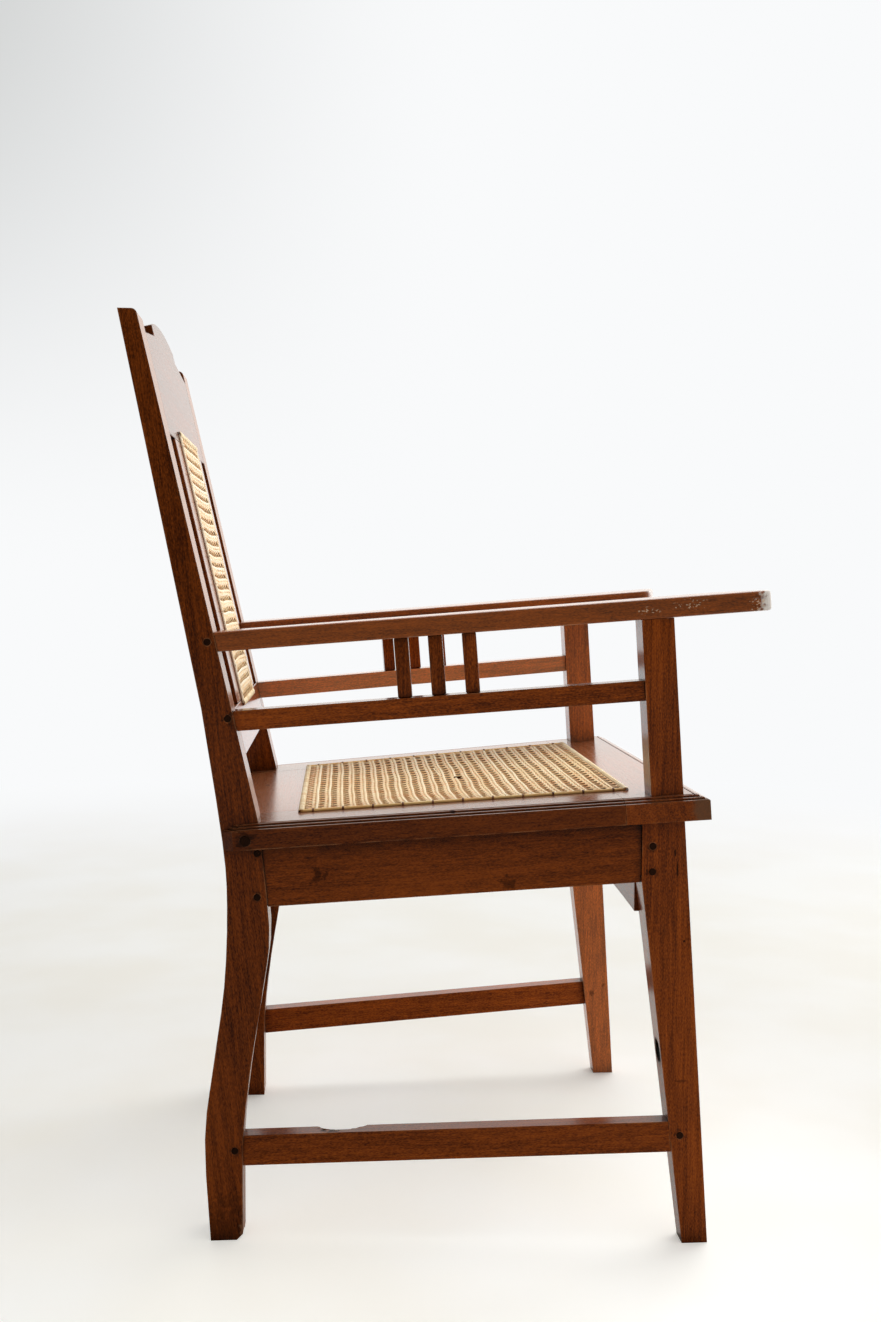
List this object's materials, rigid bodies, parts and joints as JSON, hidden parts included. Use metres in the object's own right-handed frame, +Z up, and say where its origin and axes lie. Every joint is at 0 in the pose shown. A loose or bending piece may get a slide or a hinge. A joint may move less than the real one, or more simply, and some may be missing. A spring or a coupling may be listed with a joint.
{
  "type": "planters chair",
  "caption": "Teak armchair with a raked back, caned seat and back, and long flat arms carried on slatted side frames.",
  "frame": {"origin": "on the floor, under the middle of the whole chair's box", "axes": "+Z up, the chair faces -Y, +X is the sitter's left"},
  "size_m": [0.5486, 0.6518, 0.9629],
  "materials": {
    "teak": "waxed, worn satin",
    "peg_wood": "end grain, dark and dull",
    "cane": "split cane, dry satin"
  },
  "bodies": {
    "root": {"rear_post_left": "teak", "rear_post_right": "teak", "front_leg_left": "teak", "front_leg_right": "teak", "side_apron_left": "teak", "side_apron_right": "teak", "side_stretcher_left": "teak", "side_stretcher_right": "teak", "arm_rail_left": "teak", "arm_rail_right": "teak", "arm_left": "teak", "arm_right": "teak", "arm_slat_1_left": "teak", "arm_slat_1_right": "teak", "arm_slat_2_left": "teak", "arm_slat_2_right": "teak", "arm_slat_3_left": "teak", "arm_slat_3_right": "teak", "back_stile_left": "teak", "back_stile_right": "teak", "crest_rail": "teak", "lower_back_rail": "teak", "front_apron": "teak", "rear_apron": "teak", "seat_front_board": "teak", "seat_rear_board": "teak", "seat_side_board_left": "teak", "seat_side_board_right": "teak", "seat_cane": "cane", "seat_cane_binding": "cane", "back_cane": "cane", "back_cane_binding": "cane", "rear_apron_peg_upper_left": "peg_wood", "rear_apron_peg_upper_right": "peg_wood", "rear_apron_peg_lower_left": "peg_wood", "rear_apron_peg_lower_right": "peg_wood", "front_apron_peg_upper_left": "peg_wood", "front_apron_peg_upper_right": "peg_wood", "front_apron_peg_lower_left": "peg_wood", "front_apron_peg_lower_right": "peg_wood", "rear_stretcher_peg_left": "peg_wood", "rear_stretcher_peg_right": "peg_wood", "front_stretcher_peg_left": "peg_wood", "front_stretcher_peg_right": "peg_wood", "arm_peg_left": "peg_wood", "arm_peg_right": "peg_wood", "arm_rail_peg_left": "peg_wood", "arm_rail_peg_right": "peg_wood", "seat_board_plug_left": "peg_wood", "seat_board_plug_right": "peg_wood"}
  },
  "joints": []
}
